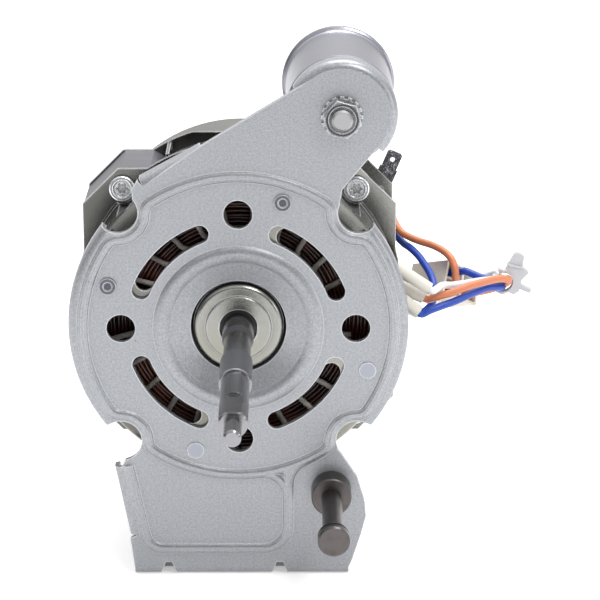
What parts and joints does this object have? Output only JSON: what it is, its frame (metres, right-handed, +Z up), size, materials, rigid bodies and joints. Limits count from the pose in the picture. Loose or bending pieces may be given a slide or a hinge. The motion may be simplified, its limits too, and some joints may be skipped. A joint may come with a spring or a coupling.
{
  "type": "dryer motor",
  "caption": "Induction motor for a tumble dryer on a pressed mounting plate, with stepped drive shaft, run capacitor, belt tensioner pin and wiring loop with connector.",
  "frame": {"origin": "on the shaft axis, in the plane of the mounting plate's front face, at the centre of the plate's four round holes", "axes": "+Y along the shaft from the drive end to the rear, +X to the right seen from the drive end, +Z up"},
  "size_m": [0.1824, 0.2482, 0.2082],
  "materials": {
    "plate_steel": "satin",
    "rivet_steel": "satin",
    "dark_steel": "satin",
    "case_steel": "satin",
    "lamination": "matte",
    "liner": "matte",
    "enamel_wire": "gloss",
    "lacing": "matte",
    "black_plastic": "matte",
    "screw_steel": "gloss",
    "cage_aluminium": "satin",
    "ground_steel": "polished",
    "bearing_steel": "polished",
    "cage_brass": "satin",
    "can_aluminium": "satin",
    "tab_tin": "satin",
    "cream_plastic": "satin",
    "clear_nylon": "satin",
    "wire_orange": "satin",
    "wire_blue": "satin",
    "wire_white": "satin"
  },
  "bodies": {
    "frame": {"mounting_plate": "plate_steel", "plate_rivets": "rivet_steel", "tensioner_pin": "dark_steel", "front_shield": "case_steel", "rear_shield": "case_steel", "stator_core": "lamination", "slot_liners": "liner", "slot_coils": "enamel_wire", "winding_front": "enamel_wire", "winding_rear": "enamel_wire", "lacing_front": "lacing", "thermal_protector": "black_plastic", "case_screws": "screw_steel", "case_nuts": "screw_steel", "front_outer_ring": "bearing_steel", "front_brg_seals": "dark_steel", "rear_outer_ring": "bearing_steel", "rear_brg_seals": "dark_steel", "preload_washer": "bearing_steel", "capacitor_can": "can_aluminium", "capacitor_cap": "black_plastic", "capacitor_tabs": "tab_tin", "capacitor_stud": "can_aluminium", "stud_washer": "screw_steel", "stud_nut": "screw_steel", "cap_receptacles": "clear_nylon", "earth_tab": "dark_steel", "earth_rivet": "rivet_steel", "lead_grommet": "black_plastic", "lead_sleeves": "cream_plastic", "connector_housing": "cream_plastic", "connector_terminals": "tab_tin", "connector_holder": "cream_plastic", "cable_clip": "clear_nylon", "wire_orange_a": "wire_orange", "wire_blue_a": "wire_blue", "wire_orange_b": "wire_orange", "wire_blue_b": "wire_blue", "wire_white": "wire_white"},
    "rotor": {"rotor_core": "lamination", "rotor_cage": "cage_aluminium", "shaft": "ground_steel", "shaft_seal": "black_plastic", "front_inner_ring": "bearing_steel", "rear_inner_ring": "bearing_steel"},
    "front_ball_set": {"front_balls": "bearing_steel", "front_ball_cage": "cage_brass"},
    "rear_ball_set": {"rear_balls": "bearing_steel", "rear_ball_cage": "cage_brass"}
  },
  "joints": [
    {"name": "rotor_spin", "type": "hinge", "parent": "frame", "child": "rotor", "pos_m": [0, 0, 0], "axis": [0, 1, 0], "continuous": true},
    {"name": "front_balls_spin", "type": "hinge", "parent": "frame", "child": "front_ball_set", "pos_m": [0, 0, 0], "axis": [0, 1, 0], "continuous": true},
    {"name": "rear_balls_spin", "type": "hinge", "parent": "frame", "child": "rear_ball_set", "pos_m": [0, 0, 0], "axis": [0, 1, 0], "continuous": true}
  ],
  "couplings": [
    {"joint": "front_balls_spin", "follows": "rotor_spin", "ratio": 0.3659},
    {"joint": "rear_balls_spin", "follows": "rotor_spin", "ratio": 0.3659}
  ]
}
